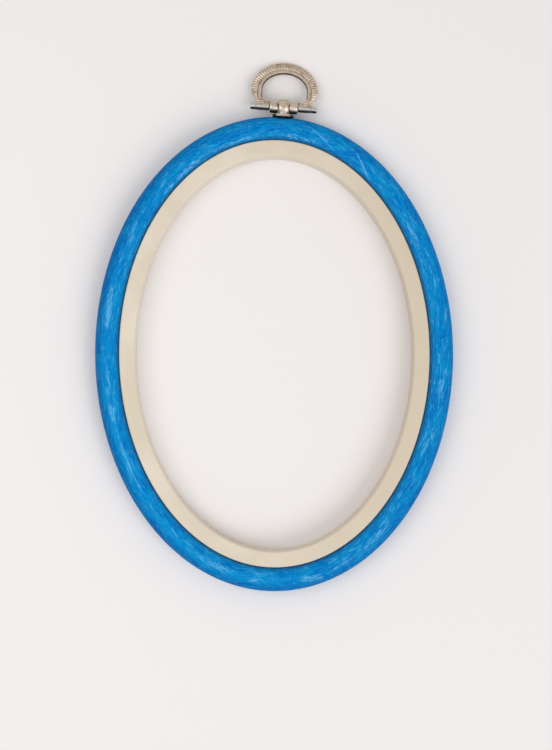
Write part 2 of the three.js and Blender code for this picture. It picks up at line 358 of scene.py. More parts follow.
alongY = Matrix.Rotation(pi / 2, 4, "Z")  # lays a shape that was spun round X along Y


# Rings: a section of (outwards, up) points is spun, then laid round the seat oval.

oval = dict(width=7.8 * mm, steps=480, spinRadius=60 * mm)
oval["seatHalfWidth"] = (outerHigh.x - outerLow.x) / 2 - oval["width"]
oval["seatHalfLength"] = (outerHigh.y - outerLow.y) / 2 - oval["width"]


def besideSeat(turn, outwards):
    normal = Vector((oval["seatHalfLength"] * cos(turn), oval["seatHalfWidth"] * sin(turn), 0))
    seat = Vector((oval["seatHalfWidth"] * cos(turn), oval["seatHalfLength"] * sin(turn), 0))
    return ovalCentre + seat + normal.normalized() * outwards


def ringBody(section):
    bm = bmesh.new()
    acrossLayer = bm.verts.layers.float.new("across")
    walked = 0.0
    dots = []
    for i, (outwards, up) in enumerate(section):
        dot = bm.verts.new((oval["spinRadius"] + outwards, 0, up))
        walked += (section[i] - section[i - 1]).length if i else 0
        dot[acrossLayer] = walked
        dots.append(dot)
    girth = walked + (section[0] - section[-1]).length
    lines = [bm.edges.new((dots[i - 1], dots[i])) for i in range(len(dots))]
    bmesh.ops.spin(bm, geom=dots + lines, cent=(0, 0, 0), axis=(0, 0, 1), dvec=(0, 0, 0),
                   angle=2 * pi, steps=oval["steps"], use_merge=True)
    turns = {}
    for vert in bm.verts:
        turns[vert] = atan2(vert.co.y, vert.co.x) % (2 * pi)
        outwards = hypot(vert.co.x, vert.co.y) - oval["spinRadius"]
        spot = besideSeat(turns[vert], outwards)
        vert.co = (spot.x, spot.y, vert.co.z)
    # the ring's own map: x is the share of the way round, y the share of the way across the skin
    grain = bm.loops.layers.uv.new("grain")
    for face in bm.faces:
        rounds = [turns[loop.vert] / (2 * pi) for loop in face.loops]
        ways = [loop.vert[acrossLayer] / girth for loop in face.loops]
        rounds = [r + 1 if max(rounds) - r > 0.5 else r for r in rounds]
        ways = [w + 1 if max(ways) - w > 0.5 else w for w in ways]
        for loop, r, w in zip(face.loops, rounds, ways):
            loop[grain].uv = (r, w)
    bmesh.ops.recalc_face_normals(bm, faces=bm.faces)
    return bm, girth


# The flexible outer ring

outerRing = dict(
    crown=4.0 * mm,         # from the seat to the highest line
    lean=0.1 * mm,          # how far the soft edge leans in over the seat
    seatShoulder=6.9 * mm,  # height at which the dome starts, seat side
    seatSteps=16,
    wallShoulder=5.2 * mm,  # the same, outside
    wallSteps=18,
    backRound=0.6 * mm,
    backSteps=5,
    rebateWidth=1.5 * mm,   # room for the inner ring's lip
    rebateDepth=1.7 * mm,
    screwHoleRadius=1.05 * mm,
    screwPocketRadius=2.05 * mm,
    screwPocketDepth=1.8 * mm,
)

# lines on the vinyl's skin, in mm across it from the rebate round the back to the seat
skin = dict(
    shoulder=(16.2, 21.4), outerCrest=(17.6, 20.0), sheenFrom=(18.2, 20.0),
    sheenTo=(20.6, 22.6), innerCrest=(22.4, 24.6), seat=(23.0, 25.1))

# streaks in the vinyl: patches in a radian of the way round and in a mm across, noise detail,
# swing to and fro in mm, noise roughness
streakKinds = dict(
    clouds=(7.0, 0.4, 3.0, 0.5, 0.55),
    lines=(13.0, 1.0, 3.0, 1.0, 0.55),
    hair=(21.0, 2.4, 3.0, 1.4, 0.6),
    flecks=(15.0, 1.6, 4.0, -1.4, 0.65),
    dashes=(26.0, 3.2, 3.0, 1.0, 0.65),
    specks=(90.0, 3.6, 2.0, 0.6, 0.5),
)

# the blues that lie over each other all round, each where its streaks are past a fade
blues = [
    dict(streaks="lines", fade=(0.38, 0.6), share=1.0, colour=(0, 128, 199)),
    dict(streaks="clouds", fade=(0.42, 0.6), share=0.65, colour=(0, 138, 198)),
    dict(streaks="hair", fade=(0.46, 0.36), share=0.5, colour=(0, 96, 174)),
    dict(streaks="hair", fade=(0.52, 0.66), share=0.7, colour=(6, 156, 216)),
    dict(streaks="specks", fade=(0.5, 0.72), share=0.4, colour=(6, 154, 212)),
    dict(streaks="specks", fade=(0.48, 0.3), share=0.3, colour=(0, 98, 172)),
]

# pale places and scratches: middle and half size as (degrees round, mm across), slant in mm a degree,
# and how much they stand out
paleMarks = [
    dict(at=(9, 19.0), size=(3.0, 0.7), slant=-0.3),
    dict(at=(32, 22.0), size=(5.0, 1.1)),
    dict(at=(57.5, 21.9), size=(5.6, 0.35), slant=-0.5, weight=1.8),
    dict(at=(74, 20.9), size=(6.0, 0.5), slant=-0.38, weight=1.35),
    dict(at=(80, 23.4), size=(13.0, 0.8), weight=0.9),
    dict(at=(104, 23.5), size=(11.0, 0.8)),
    dict(at=(124, 23.3), size=(10.0, 1.0), weight=1.2),
    dict(at=(147, 20.8), size=(4.0, 1.3), weight=0.8),
    dict(at=(154, 20.4), size=(2.4, 0.5)),
    dict(at=(168, 20.5), size=(7.0, 1.3), slant=0.05, weight=1.2),
    dict(at=(171, 20.8), size=(3.0, 0.8), weight=0.5),
    dict(at=(187, 21.0), size=(5.0, 0.8)),
    dict(at=(195, 20.6), size=(3.6, 1.4)),
    dict(at=(210, 20.9), size=(14.0, 0.4), weight=1.2),
    dict(at=(232, 21.5), size=(3.5, 0.7)),
    dict(at=(248, 20.8), size=(9.0, 1.4)),
    dict(at=(263, 20.2), size=(2.6, 0.6), slant=0.2, weight=1.2),
    dict(at=(281.5, 19.6), size=(4.4, 1.7), slant=-0.15, weight=1.2),
    dict(at=(293, 19.9), size=(6.0, 0.9)),
    dict(at=(305, 20.3), size=(6.5, 1.3)),
    dict(at=(337, 20.6), size=(5.0, 0.8), slant=-0.3),
    dict(at=(350, 20.6), size=(4.0, 1.6)),
]

vinyl = dict(
    base=(0, 108, 187),
    swings=9,                # of the streaks, to and fro in one round
    sheenTurn=225,          # degrees round, where the painted highlight on the crest is strongest
    sheenSide=(0.1, 1.0),    # cosines of the way from there
    sheenShare=0.35,
    sheenBlue=(8, 156, 220),
    quietestTurn=140,        # where the light streaks and the painted highlight on them stand out least
    streakSheenShare=0.7,
    streakSheenSpread=0.25,
    streakSheenClouds=(0.42, 0.62),
    streakSheenFlecks=(0.5, 0.68),
    streakSheenBlue=(84, 176, 236),
    seatShare=0.65,          # the shade beside the inner ring
    seatBlue=(34, 76, 112),
    markEdge=1.2,            # squared distance from its middle, in half sizes, where a mark ends
    markLift=0.14,           # what a mark adds to the dashes
    paleFade=(0.58, 0.74),
    paleShare=0.7,
    paleBlue=(104, 186, 236),
    outerShadeShare=0.32,          # painted shade on the outer side, most of it round the same turn
    outerShadeSpread=0.55,
    outerShadeSide=(-0.9, 0.2),
    outerShadeTint=(1, 0.66, 0.74, 1),
    flangeShadeSize=(4.0 * mm, 1.4 * mm, 12 * mm),  # half sizes of the painted shade in the corner at the saddle's flange
    flangeShadeFade=(1.1, 0.7),
    flangeShadeShare=0.9,
    flangeShadeBlue=(6, 30, 48),
    reliefHeight=0.14 * mm,
    reliefStrength=0.7,
    roughness=0.4,
    roughnessSpread=0.16,
    gloss=0.04,
)


def vinylFinish(girth):
    look = Finish(bpy.data.materials.new("vinylBlue"))
    grainMap = look.node("ShaderNodeUVMap", {"uv_map": "grain"})
    turn = look.part(grainMap, 0) * (2 * pi)
    across = look.part(grainMap, 1) * (girth / mm)

    # noise stretched along the ring
    def streaks(reach, fine, detail, swing, roughness):
        swung = across + turn.maths("SINE", turn * vinyl["swings"]) * swing
        x = turn.maths("COSINE", turn) * reach
        y = turn.maths("SINE", turn) * reach
        return look.noise(look.join(x, y, swung * fine), 1.0, detail, roughness)

    # cosine of the way round from a place
    def towards(degrees):
        return turn.maths("COSINE", turn - radians(degrees))

    # its weight in the middle of a place on the skin, 0 outside it
    def mark(at, size, slant=0.0, weight=1.0):
        along = (turn - radians(at[0])) / radians(size[0])
        aside = (across - at[1] - along * (slant * size[0])) / size[1]
        return look.ramp(along * along + aside * aside, vinyl["markEdge"], 0.0) * weight

    kinds = {name: streaks(*values) for name, values in streakKinds.items()}
    colour = paint(*vinyl["base"])
    for blue in blues:
        factor = look.ramp(kinds[blue["streaks"]], *blue["fade"]) * blue["share"]
        colour = look.mixColour(factor, colour, paint(*blue["colour"]))

    # painted highlight along the crest, strongest on one side
    side = towards(vinyl["sheenTurn"])
    sideSheen = look.ramp(side, *vinyl["sheenSide"]) * look.ramp(across, *skin["sheenFrom"])
    sideSheen = sideSheen * (1 - look.ramp(across, *skin["sheenTo"]))
    colour = look.mixColour(sideSheen * vinyl["sheenShare"], colour, paint(*vinyl["sheenBlue"]))

    # light streaks of the grain, with a painted highlight along the crest
    crest = look.ramp(across, *skin["outerCrest"]) * (1 - look.ramp(across, *skin["innerCrest"]))
    streaksAndSheen = look.ramp(kinds["clouds"], *vinyl["streakSheenClouds"])
    streaksAndSheen = streaksAndSheen * look.ramp(kinds["flecks"], *vinyl["streakSheenFlecks"]) * crest
    lively = vinyl["streakSheenShare"] - towards(vinyl["quietestTurn"]) * vinyl["streakSheenSpread"]
    colour = look.mixColour(streaksAndSheen * lively, colour, paint(*vinyl["streakSheenBlue"]))

    seat = look.ramp(across, *skin["seat"]) * vinyl["seatShare"]
    colour = look.mixColour(seat, colour, paint(*vinyl["seatBlue"]))
    marks = sum(mark(**values) for values in paleMarks)
    pale = look.ramp(marks * vinyl["markLift"] + kinds["dashes"], *vinyl["paleFade"])
    colour = look.mixColour(pale * vinyl["paleShare"], colour, paint(*vinyl["paleBlue"]))

    # painted shade on the outer side
    outerShade = vinyl["outerShadeShare"] + look.ramp(side, *vinyl["outerShadeSide"]) * vinyl["outerShadeSpread"]
    outerShade = outerShade * (1 - look.ramp(across, *skin["shoulder"]))
    colour = look.mixColour(outerShade, colour, vinyl["outerShadeTint"], "MULTIPLY")
    # painted shade in the corner under the saddle's flange
    corner = look.node("ShaderNodeMapping", {"vector_type": "TEXTURE"}, {
        "Vector": look.spot(), "Location": wallFrame.translation, "Rotation": (0, 0, pinTurn),
        "Scale": vinyl["flangeShadeSize"]})
    away = look.node("ShaderNodeVectorMath", {"operation": "LENGTH"}, {0: corner}, "Value")
    flangeShade = look.ramp(away, *vinyl["flangeShadeFade"]) * vinyl["flangeShadeShare"]
    colour = look.mixColour(flangeShade, colour, paint(*vinyl["flangeShadeBlue"]))
    height = kinds["lines"] * 0.5 + kinds["hair"] * 0.5
    return look.surface(
        Base_Color=colour,
        Roughness=vinyl["roughness"] + kinds["hair"] * vinyl["roughnessSpread"],
        Specular_IOR_Level=vinyl["gloss"],
        Normal=look.bump(height, vinyl["reliefHeight"], vinyl["reliefStrength"]),
    )


def makeOuterRing():
    width, depth = oval["width"], outerHigh.z
    crown, lean, backRound = outerRing["crown"], outerRing["lean"], outerRing["backRound"]
    wallShoulder, seatShoulder = outerRing["wallShoulder"], outerRing["seatShoulder"]
    rebateWidth, rebateDepth = outerRing["rebateWidth"], outerRing["rebateDepth"]
    section = [Vector((-lean, rebateDepth))]
    section += [Vector((rebateWidth, rebateDepth)), Vector((rebateWidth, 0))]
    section += quarter(width - backRound, backRound, backRound, -90, outerRing["backSteps"])
    section += arc(crown, wallShoulder, width - crown, depth - wallShoulder, 0, 90,
                   outerRing["wallSteps"])
    section += arc(crown, seatShoulder, crown + lean, depth - seatShoulder, 90, 180,
                   outerRing["seatSteps"])[1:]
    bm, girth = ringBody(section)

    # the passage of the saddle's screw and the pocket of its head, along the hanger's own Y
    inside = -width - mm
    passage = rod(outerRing["screwHoleRadius"], inside, mm, meshing["hole"])
    pocket = rod(outerRing["screwPocketRadius"], inside, -width + outerRing["screwPocketDepth"],
                 meshing["hole"])
    holes = [place(hole, wallFrame @ alongY) for hole in (passage, pocket)]
    bm = combine(bm, holes, "DIFFERENCE")
    finishPiece(bm, "outerRing", vinylFinish(girth), "outer_hoop", ["outer_ring"])


# The rigid inner ring

innerRing = dict(
    gap=0.2 * mm,   # the cloth's room between the rings
    width=5.1 * mm,
    frontRound=0.5 * mm,
    frontSteps=8,
    backRound=0.5 * mm,
    backSteps=5,
    lipDepth=1.4 * mm,
    lipRound=0.3 * mm,
    lipSteps=4,
)

cream = dict(
    plain=(214, 201, 181),
    pale=(224, 212, 194),
    clouds=(60.0, 3.0, 0.55),         # noise: scale, detail, roughness
    cloudFade=(0.3, 0.7),
    wall=(224, 214, 200),             # the ring's inner wall, painted lighter and less yellow than the front as painted light
    wallFade=(0.6, 1.4),              # mm down from the front
    wallShare=0.7,
    # painted shade towards the right
    agedAndShaded=(208, 193, 170),
    rightShadeFade=(-20 * mm, 60 * mm),     # from the left to the right
    rightShadeShare=0.8,
    grit=(2600.0, 2.0, 0.6),
    gritHeight=0.02 * mm,
    gritStrength=0.3,
    roughness=0.38,
    roughnessSpread=0.12,
    ior=1.49,
)


# painted shade: the plastic is painted darker and a little yellower towards the right
def creamFinish(girth):
    look = Finish(bpy.data.materials.new("creamPlastic"))
    spot = look.spot()
    cloud = look.noise(spot, *cream["clouds"])
    grit = look.noise(spot, *cream["grit"])
    agedAndShaded = look.ramp(look.part(spot, 0), *cream["rightShadeFade"])
    grainMap = look.node("ShaderNodeUVMap", {"uv_map": "grain"})
    across = look.part(grainMap, 1) * (girth / mm)
    wallStart = (girth - innerHigh.z) / mm
    inWall = look.ramp(across, *(wallStart + down for down in cream["wallFade"]))
    cloudy = look.ramp(cloud, *cream["cloudFade"])
    colour = look.mixColour(cloudy, paint(*cream["plain"]), paint(*cream["pale"]))
    # painted light on the inner wall
    colour = look.mixColour(inWall * cream["wallShare"], colour, paint(*cream["wall"]))
    # painted shade towards the right
    colour = look.mixColour(agedAndShaded * cream["rightShadeShare"], colour, paint(*cream["agedAndShaded"]))
    return look.surface(
        Base_Color=colour,
        Roughness=cream["roughness"] + cloud * cream["roughnessSpread"],
        IOR=cream["ior"],
        Normal=look.bump(grit, cream["gritHeight"], cream["gritStrength"]),
    )


def makeInnerRing():
    outside = -innerRing["gap"]
    inside = outside - innerRing["width"]
    lip = (innerHigh.x - innerLow.x) / 2 - oval["seatHalfWidth"]
    frontRound, frontSteps = innerRing["frontRound"], innerRing["frontSteps"]
    backRound, lipRound, lipDepth = innerRing["backRound"], innerRing["lipRound"], innerRing["lipDepth"]
    shoulder = innerHigh.z - frontRound
    section = quarter(inside + backRound, backRound, backRound, 180, innerRing["backSteps"])
    section += quarter(lip - lipRound, lipRound, lipRound, -90, innerRing["lipSteps"])
    section += [Vector((lip, lipDepth)), Vector((outside, lipDepth))]
    section += quarter(outside - frontRound, shoulder, frontRound, 0, frontSteps)
    section += quarter(inside + frontRound, shoulder, frontRound, 90, frontSteps)
    bm, girth = ringBody(section)
    finishPiece(bm, "innerRing", creamFinish(girth), "inner_hoop", ["inner_ring"])


# The hanger's metals

brass = dict(
    plain=(222, 201, 177),
    pale=(232, 214, 194),
    blotches=(320.0, 2.0, 0.5),  # noise: scale, detail, roughness
    paleFade=(0.35, 0.65),
    scuffed=(240, 232, 222),
    scuffs=(900.0, 3.0, 0.6),
    scuffFade=(0.55, 0.75),
    scuffShare=0.6,
    agedAndShaded=(146, 120, 98),
    age=(620.0, 3.0, 0.6),
    ageFade=(0.52, 0.64),
    ageShare=0.55,
    highlit=(216, 208, 202),        # a nickel-toned painted highlight
    # painted shade and dark reflection
    shaded=(50, 44, 40),
    reliefHeight=0.04 * mm,
    reliefStrength=0.5,
    roughness=0.3,
    scuffRoughness=0.16,
    shadeRoughness=0.2,
)

nickel = dict(
    plain=(206, 202, 200),
    pale=(224, 220, 218),
    scuffs=(1500.0, 2.0, 0.5),
    scuffFade=(0.3, 0.7),
    # painted shade and dark reflection
    shaded=(50, 48, 48),
    reliefHeight=0.02 * mm,
    reliefStrength=0.3,
    roughness=0.22,
    scuffRoughness=0.14,
)

# how far the painted shade goes towards its dark colour
shadeShare = 0.95


def brassFinish():
    look = Finish(bpy.data.materials.new("paleBrass"))
    spot = look.spot()
    scuffs = look.noise(spot, *brass["scuffs"])
    blotches = look.noise(spot, *brass["blotches"])
    age = look.noise(spot, *brass["age"])
    paintedShade = look.pointShading("paintedShade")
    blotched = look.ramp(blotches, *brass["paleFade"])
    scuffed = look.ramp(scuffs, *brass["scuffFade"]) * brass["scuffShare"]
    agedAndShaded = look.ramp(age, *brass["ageFade"]) * brass["ageShare"]
    colour = look.mixColour(blotched, paint(*brass["plain"]), paint(*brass["pale"]))
    colour = look.mixColour(scuffed, colour, paint(*brass["scuffed"]))
    colour = look.mixColour(agedAndShaded, colour, paint(*brass["agedAndShaded"]))
    # painted highlight from the layer on the mesh
    colour = look.mixColour(look.pointShading("paintedSheen"), colour, paint(*brass["highlit"]))
    # painted shade and dark reflection from the layer on the mesh
    colour = look.mixColour(paintedShade * shadeShare, colour, paint(*brass["shaded"]))
    roughness = brass["roughness"] + scuffs * brass["scuffRoughness"]
    return look.surface(
        Base_Color=colour,
        Metallic=1.0,
        Roughness=roughness + paintedShade * brass["shadeRoughness"],
        Normal=look.bump(scuffs, brass["reliefHeight"], brass["reliefStrength"]),
    )


def nickelFinish():
    look = Finish(bpy.data.materials.new("nickel"))
    scuffs = look.noise(look.spot(), *nickel["scuffs"])
    scuffed = look.ramp(scuffs, *nickel["scuffFade"])
    colour = look.mixColour(scuffed, paint(*nickel["plain"]), paint(*nickel["pale"]))
    # painted shade and dark reflection from the layer on the mesh
    colour = look.mixColour(look.pointShading("paintedShade") * shadeShare, colour, paint(*nickel["shaded"]))
    return look.surface(
        Base_Color=colour,
        Metallic=1.0,
        Roughness=nickel["roughness"] + scuffs * nickel["scuffRoughness"],
        Normal=look.bump(scuffs, nickel["reliefHeight"], nickel["reliefStrength"]),
    )


def makePin(material):
    radius, rim = fittings["headRadius"], fittings["rim"]
    neck = fittings["knuckleEnd"] + fittings["headGap"]
    end = fittings["knuckleEnd"] + fittings["side"] + fittings["headLength"]
    half = [Vector((neck, fittings["pinRadius"])), Vector((neck, radius))]
    half += arc(end - rim, radius - rim, rim, rim, 90, 0, fittings["headSteps"])
    half.append(Vector((end, 0)))
    other = [Vector((-point.x, point.y)) for point in reversed(half)]
    # painted shade on the heads' ends and on the side that faces the ring
    bm = shadeBarrel(spun(other + half), radius, fittings["headSkin"], start=fittings["headShade"])
    finishPiece(place(bm, pinFrame), "hingePin", material, "hanger", ["hinge_pin"])


def makeCollars(material):
    radius, length, rim = fittings["collarRadius"], fittings["collarLength"], fittings["rim"]
    middle = fittings["loopWidth"] / 2 + fittings["side"] + length / 2
    sides = [("collarLeft", "collar_left", -middle), ("collarRight", "collar_right", middle)]
    for name, node, x in sides:
        bm = sleeve(radius, fittings["bore"], length, rim, x, fittings["crown"])
        # painted shade and nickel-toned painted highlight
        place(shadeBarrel(bm, radius, 2 * rim, paintedSheen=fittings["collarSheen"]), pinFrame)
        finishPiece(bm, name, material, "hanger", [node])


saddle = dict(
    flangeWidth=7.0 * mm,
    flangeHeight=5.4 * mm,
    flangeThickness=0.75 * mm,
    flangeCorner=2.4 * mm,
    flangeSoft=0.15 * mm,    # the softened front edge
    wallGap=0.05 * mm,
    footRadius=2.45 * mm,
    footHeight=0.6 * mm,     # of the flare in front of the flange
    footSink=0.3 * mm,       # and how far it starts inside the flange
    footSteps=7,
    neckRadius=1.6 * mm,
    stemWidth=3.0 * mm,
    stemDepth=4.4 * mm,
    stemReach=1.6 * mm,      # in front of the flange
    stemInset=0.1 * mm,
    stemCorner=1.2 * mm,
    loopCrown=0.3 * mm,
    boreReach=5 * mm,
    socketRadius=1.05 * mm,
    socketDepth=2.05 * mm,
    fadeCuts=(0.1, 0.3),     # shares of the flange's thickness between which its painted shade at the back fades
    darkBack=0.2,            # and the share that parts its points painted in shade from the unshaded ones
    backShade=0.6,
    sideStart=1.9,           # mm from the middle, where the painted shade on the flange's sides starts
    sideRise=1.6,            # in a mm
    # how strong the painted highlight is on the flange and the neck
    flangeSheen=0.6,
    flangeSkin=0.02 * mm,    # so far in front of its face a point still belongs to the flange
    neckStart=-0.3,          # mm from the pin's middle, where the painted highlight on the neck starts
    neckRise=0.3,            # in a mm
    neckSheen=0.35,
    endEdge=0.05 * mm,       # so near to the loop's end and
    endRims=2,               # so many rims below its skin a point is painted in shade
)


def makeSaddle(material):
    thickness, bore, rim = saddle["flangeThickness"], fittings["bore"], fittings["rim"]
    wall = -fittings["standoff"] + saddle["wallGap"]
    face = wall + thickness
    flange = plate(saddle["flangeWidth"], saddle["flangeHeight"], thickness, saddle["flangeCorner"],
                   wall, saddle["flangeSoft"])
    for share in saddle["fadeCuts"]:
        bmesh.ops.bisect_plane(flange, geom=flange.verts[:] + flange.edges[:] + flange.faces[:],
                               plane_co=(0, wall + share * thickness, 0), plane_no=(0, 1, 0))
    stem = plate(saddle["stemWidth"], saddle["stemDepth"], face - wall + saddle["stemReach"],
                 saddle["stemCorner"], wall + saddle["stemInset"])
    foot, footHeight, neckRadius = saddle["footRadius"], saddle["footHeight"], saddle["neckRadius"]
    footStart = face - saddle["footSink"]
    flare = arc(face + footHeight, foot, footHeight, foot - neckRadius, 180, 270, saddle["footSteps"])
    profile = [(footStart, 0), (footStart, foot)] + [tuple(point) for point in flare]
    profile += [(-bore, neckRadius), (-bore, 0)]
    neck = place(spun(profile), alongY)
    loopHalf = fittings["loopWidth"] / 2
    outline = barrelSkin(fittings["loopRadius"], fittings["loopWidth"], rim, saddle["loopCrown"])
    loop = spun([Vector((-loopHalf, 0))] + outline + [Vector((loopHalf, 0))])
    hole = rod(bore, -saddle["boreReach"], saddle["boreReach"])
    socketEnd = -fittings["standoff"] + saddle["socketDepth"]
    socket = place(rod(saddle["socketRadius"], wall - mm, socketEnd), alongY)
    joined = combine(flange, [neck, stem, loop], "UNION")
    bm = combine(joined, [hole, socket], "DIFFERENCE")

    def onFlange(co):
        return co.y < face + saddle["flangeSkin"]

    # painted shade: the flange's back and sides and the insides of the loop's ends
    def shaded(co):
        if onFlange(co):
            atBack = co.y < wall + saddle["darkBack"] * thickness
            side = (abs(co.x) / mm - saddle["sideStart"]) * saddle["sideRise"]
            return max(saddle["backShade"] if atBack else 0.0, side)
        atEnd = abs(co.x) > loopHalf - saddle["endEdge"]
        below = hypot(co.y, co.z) < fittings["loopRadius"] - saddle["endRims"] * rim
        return 1.0 if atEnd and below else 0.0

    # painted highlight: the whole flange and the front of the neck
    def highlit(co):
        if onFlange(co):
            return saddle["flangeSheen"]
        rise = saddle["neckRise"] * (saddle["neckStart"] - co.y / mm)
        return min(rise, saddle["neckSheen"])

    shadePoints(bm, highlit, "paintedSheen")
    place(shadePoints(bm, shaded), pinFrame)
    finishPiece(bm, "hangerSaddle", material, "outer_hoop", ["saddle"])


screw = dict(
    radius=0.9 * mm,
    headRadius=1.75 * mm,
    headThickness=1.15 * mm,
    domeShare=0.6,           # of the head's thickness
    domeArc=(150, 90),       # degrees, from the flat middle to the rim
    domeSteps=8,
    recess=0.5 * mm,
    grip=1.9 * mm,
    tipLength=0.4 * mm,
    tipRadius=0.4 * mm,
    slotLength=6 * mm,
    slotWidth=0.5 * mm,
    slotDepth=0.5 * mm,
)


def makeScrew(material):
    radius, headRadius, slotDepth = screw["radius"], screw["headRadius"], screw["slotDepth"]
    top = -fittings["standoff"] - oval["width"] + screw["recess"]
    under = top + screw["headThickness"]
    tip = -fittings["standoff"] + screw["grip"]
    dome = screw["domeShare"] * screw["headThickness"]
    profile = [Vector((top, 0))]
    profile += arc(top + dome, 0, dome, headRadius, *screw["domeArc"], screw["domeSteps"])
    profile += [Vector((under, headRadius)), Vector((under, radius))]
    profile += [Vector((tip - screw["tipLength"], radius)), Vector((tip, screw["tipRadius"]))]
    body = place(spun(profile + [Vector((tip, 0))]), alongY)
    slot = bmesh.new()
    bmesh.ops.create_cube(slot, size=1)
    size = (screw["slotLength"], 2 * slotDepth, screw["slotWidth"])
    bmesh.ops.scale(slot, vec=size, verts=slot.verts)
    bmesh.ops.translate(slot, vec=(0, top, 0), verts=slot.verts)
    bm = place(combine(body, [slot], "DIFFERENCE"), pinFrame)
    finishPiece(bm, "saddleScrew", material, "outer_hoop", ["saddle_screw"])


# The swinging arch: a section is spun half a turn, then laid from foot to foot.

arch = dict(
    halfWidth=11.0 * mm,
    shoulder=6.0 * mm,
    reach=16.3 * mm,
    bandTop=4.1 * mm,
    bandSide=3.6 * mm,
    thickness=1.3 * mm,
    edge=0.3 * mm,
    footHeight=1.95 * mm,
    footCorner=1.6 * mm,
    footStart=0.8 * mm,
    footSteps=8,
    tipGap=0.05 * mm,
    ribs=50,
    stepsPerRib=8,
    ribRise=0.2 * mm,
    ribPower=0.7,        # under 1 for full ribs with narrow grooves
    # painted shade in the grooves between the ribs
    grooveDark=0.35,
    groovePower=1.5,
    rimWidth=1.25 * mm,
    legShare=0.16,       # of the steps in each leg, below the shoulder
    legSteps=24,
    spinRadius=3,        # of the spin alone, in half sections
)

# The arch's section runs from its inner edge over the front and round the back. Heights are shares of
# half its thickness. On the rim: mm from the inner edge, height, how dark its painted shade and dark
# reflection are.
rimFront = [
    (0.0, 0.0, 1.0), (0.02, 0.35, 1.0), (0.08, 0.62, 1.0), (0.17, 0.82, 0.85), (0.3, 0.94, 0.1),
    (0.46, 0.99, 0.0), (0.66, 1.0, 0.0), (0.9, 0.99, 0.0), (1.1, 0.95, 0.0)]
rimBack = [(0.45, -1.0, 0.0), (0.15, -0.85, 0.2), (0.03, -0.45, 0.7)]

# outside the rim: share of the way to the outer edge, height, how much of a rib's rise is taken off it
# and how much of a rib stands on it, how dark its painted shade is
band = [
    (0.02, 0.72, 0.0, 0.0, 0.25), (0.08, 0.55, 0.0, 0.0, 0.45), (0.15, 0.62, 0.0, 0.4, 0.2),
    (0.25, 1.0, 1.0, 1.0, 0.0), (0.38, 1.0, 1.0, 1.0, 0.0), (0.52, 1.0, 1.0, 1.0, 0.0),
    (0.66, 1.0, 1.0, 1.0, 0.0), (0.78, 1.0, 1.0, 1.0, 0.0), (0.88, 0.9, 1.0, 0.9, 0.0),
    (0.95, 0.45, 0.5, 0.7, 0.0), (1.0, 0.0, 0.0, 0.0, 0.0), (0.97, -0.55, 0.0, 0.0, 0.0),
    (0.88, -0.93, 0.0, 0.0, 0.0), (0.78, -1.0, 0.0, 0.0, 0.0)]


# the point at a share of the way along a path
def walk(path, share):
    lengths = [(b - a).length for a, b in zip(path, path[1:])]
    target = share * sum(lengths)
    for (a, b), length in zip(zip(path, path[1:]), lengths):
        if target <= length:
            return a.lerp(b, target / length)
        target -= length
    return path[-1]


# outer and inner outlines of the right leg, from the foot up to the shoulder
def legPaths():
    knuckleStart, knuckleEnd = fittings["knuckleStart"], fittings["knuckleEnd"]
    footTop, halfWidth, shoulder = fittings["knuckleRadius"], arch["halfWidth"], arch["shoulder"]
    footHeight, corner = arch["footHeight"], arch["footCorner"]
    inside = halfWidth - arch["bandSide"]
    swell = (shoulder - footTop) / 2
    outer = [Vector((knuckleEnd, arch["footStart"]))]
    outer += interpolate_bezier(
        Vector((knuckleEnd, footTop)), Vector((knuckleEnd + arch["edge"], footTop + swell)),
        Vector((halfWidth, shoulder - swell)), Vector((halfWidth, shoulder)), arch["legSteps"])
    inner = [Vector((knuckleStart, arch["footStart"])), Vector((knuckleStart, footHeight))]
    inner += quarter(inside - corner, footHeight + corner, corner, -90, arch["footSteps"])
    inner.append(Vector((inside, shoulder)))
    return outer, inner


